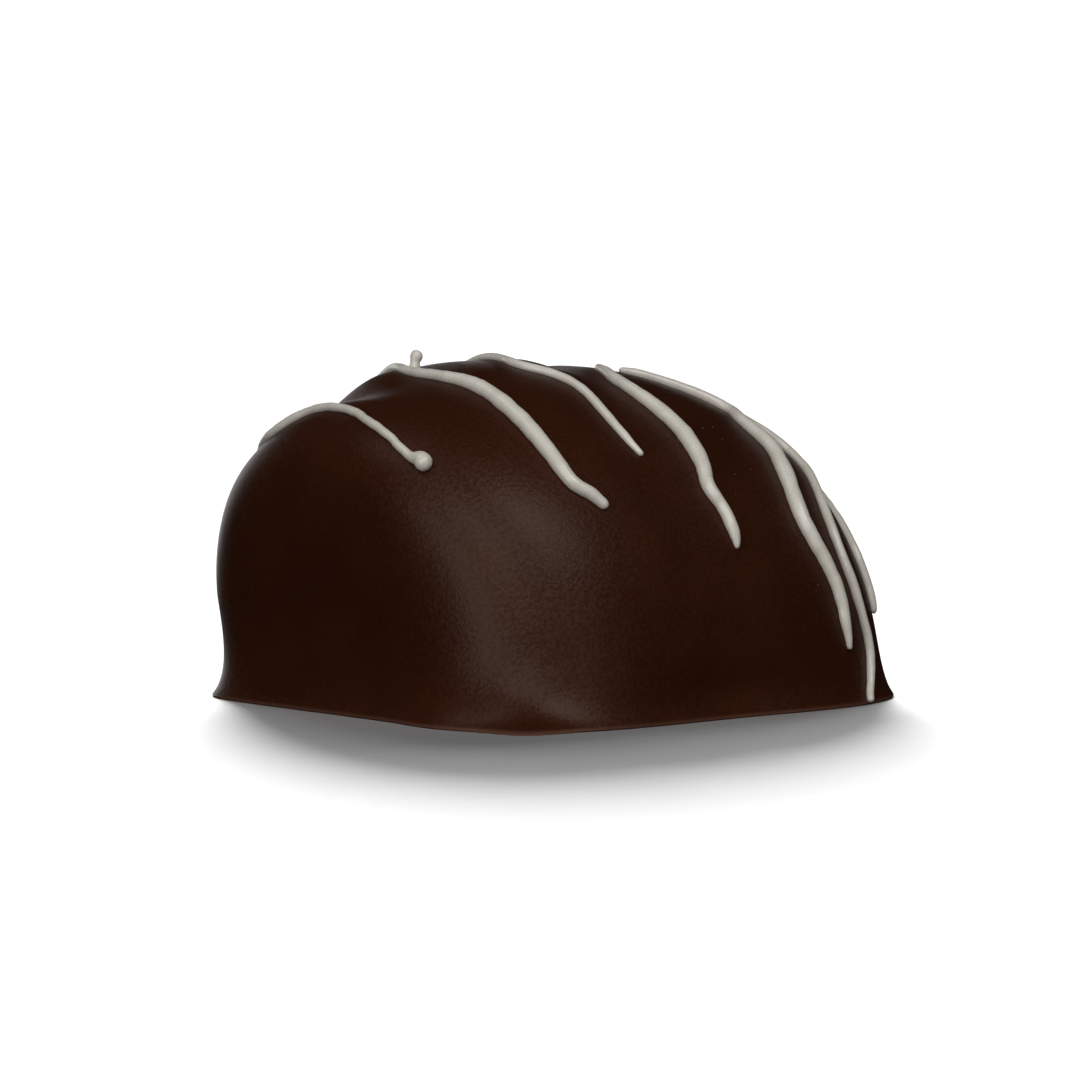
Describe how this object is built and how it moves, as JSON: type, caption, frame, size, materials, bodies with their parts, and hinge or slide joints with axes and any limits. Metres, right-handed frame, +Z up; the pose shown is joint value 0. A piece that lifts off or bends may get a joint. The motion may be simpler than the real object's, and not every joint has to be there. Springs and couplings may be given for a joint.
{
  "type": "chocolate-covered date",
  "caption": "Date coated in dark chocolate: a rounded block with a flared foot, a sloping end and raised white chocolate strands across its top.",
  "frame": {"origin": "middle of the flat base, under the middle of the bounding box", "axes": "+Z up, +X along the date from its blunt end to its sloping end, -Y the front that the strands run down"},
  "size_m": [0.0386, 0.0346, 0.0233],
  "materials": {
    "dark_chocolate": "satin dark chocolate with a soft, slightly mottled sheen",
    "white_chocolate": "satin white chocolate drizzle"
  },
  "bodies": {
    "root": {"chocolate_date": "dark_chocolate"}
  },
  "joints": []
}
